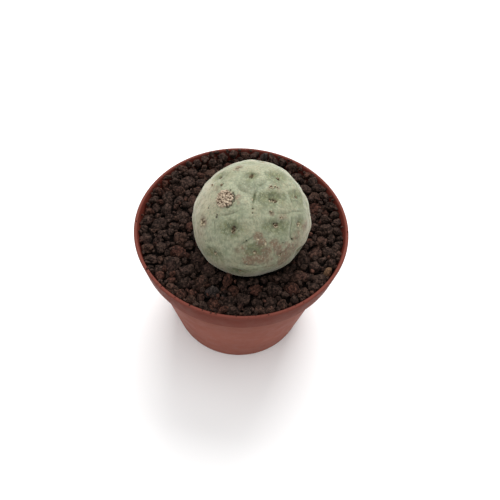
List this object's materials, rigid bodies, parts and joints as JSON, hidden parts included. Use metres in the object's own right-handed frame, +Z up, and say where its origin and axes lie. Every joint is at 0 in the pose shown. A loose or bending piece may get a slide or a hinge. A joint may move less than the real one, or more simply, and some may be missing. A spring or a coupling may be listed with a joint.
{
  "type": "potted tephrocactus",
  "caption": "Round grey-green tubercled cactus stem, half sunk in dark lava grit in a small tapered terracotta-coloured plastic nursery pot with a collar band.",
  "frame": {"origin": "centre of the pot's foot ring, on the surface that the pot stands on", "axes": "+Z up along the pot's axis; -Y towards the front, where the stem carries its corky scar at the upper left; +X to the right seen from the front"},
  "size_m": [0.07, 0.07, 0.075],
  "materials": {
    "terracotta_plastic": "moulded, matt, lightly scuffed",
    "lava_grit": "rough, packed volcanic grit",
    "cactus_skin": "grey-green waxy plant skin with brown corky areoles",
    "lava_stone_dark": "rough, porous, near-black brown volcanic stone",
    "lava_stone_red": "rough, porous, dull red volcanic stone",
    "lava_stone_brown": "rough, porous, brown volcanic stone"
  },
  "bodies": {
    "root": {"cactus_stem": "cactus_skin", "grit_bed": "lava_grit", "lava_grain_01": "lava_stone_dark", "lava_grain_02": "lava_stone_dark", "lava_grain_03": "lava_stone_dark", "lava_grain_04": "lava_stone_dark", "lava_grain_05": "lava_stone_red", "lava_grain_06": "lava_stone_dark", "lava_grain_07": "lava_stone_dark", "lava_grain_08": "lava_stone_dark", "lava_grain_09": "lava_stone_brown", "lava_grain_10": "lava_stone_dark", "lava_grain_11": "lava_stone_dark", "lava_grain_12": "lava_stone_brown", "lava_grain_13": "lava_stone_red", "lava_grain_14": "lava_stone_red", "lava_grain_15": "lava_stone_dark", "lava_grain_16": "lava_stone_dark", "lava_grain_17": "lava_stone_red", "lava_grain_18": "lava_stone_dark", "lava_grain_19": "lava_stone_dark", "lava_grain_20": "lava_stone_dark", "lava_grain_21": "lava_stone_brown", "lava_grain_22": "lava_stone_dark", "lava_grain_23": "lava_stone_dark", "lava_grain_24": "lava_stone_dark", "lava_grain_25": "lava_stone_brown", "lava_grain_26": "lava_stone_brown", "lava_grain_27": "lava_stone_dark", "lava_grain_28": "lava_stone_red", "lava_grain_29": "lava_stone_dark", "lava_grain_30": "lava_stone_dark", "lava_grain_31": "lava_stone_brown", "lava_grain_32": "lava_stone_red", "lava_grain_33": "lava_stone_red", "lava_grain_34": "lava_stone_dark", "lava_grain_35": "lava_stone_brown", "lava_grain_36": "lava_stone_dark", "lava_grain_37": "lava_stone_dark", "lava_grain_38": "lava_stone_dark", "lava_grain_39": "lava_stone_dark", "lava_grain_40": "lava_stone_red", "lava_grain_41": "lava_stone_red", "lava_grain_42": "lava_stone_dark", "lava_grain_43": "lava_stone_dark", "pot": "terracotta_plastic"}
  },
  "joints": []
}
